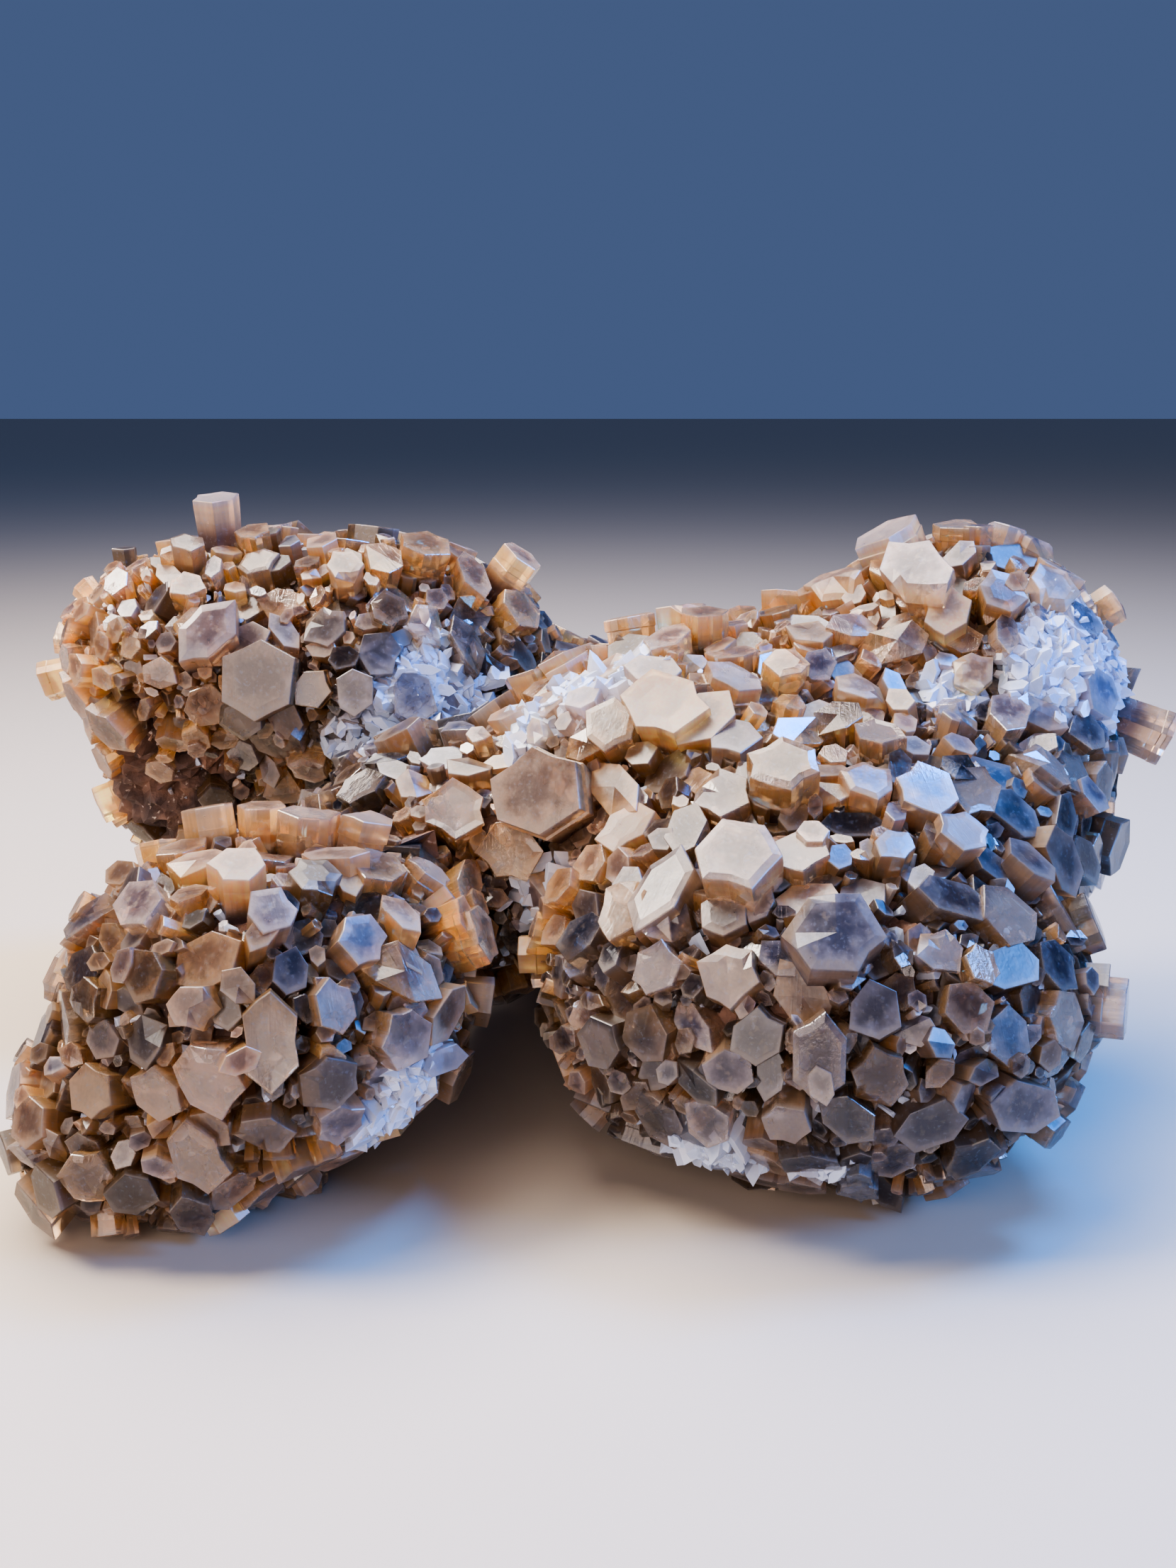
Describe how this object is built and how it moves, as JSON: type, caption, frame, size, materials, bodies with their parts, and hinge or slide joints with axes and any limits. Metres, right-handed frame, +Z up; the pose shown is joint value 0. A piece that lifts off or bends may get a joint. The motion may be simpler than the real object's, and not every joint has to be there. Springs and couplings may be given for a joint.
{
  "type": "aragonite crystal cluster",
  "caption": "Natural cluster of short six-sided aragonite crystals that radiate from several joined rounded lobes; it rests on the flat ends of its lowest crystals.",
  "frame": {"origin": "on the resting surface, under the middle of the cluster's width and depth", "axes": "+X to the right along the cluster's longest side, -Y to its front, +Z up"},
  "size_m": [0.1813, 0.1346, 0.0863],
  "materials": {
    "aragonite": "glossy to frosted translucent crystal, honey brown with paler rims"
  },
  "bodies": {
    "root": {"crystal_cluster": "aragonite"}
  },
  "joints": []
}
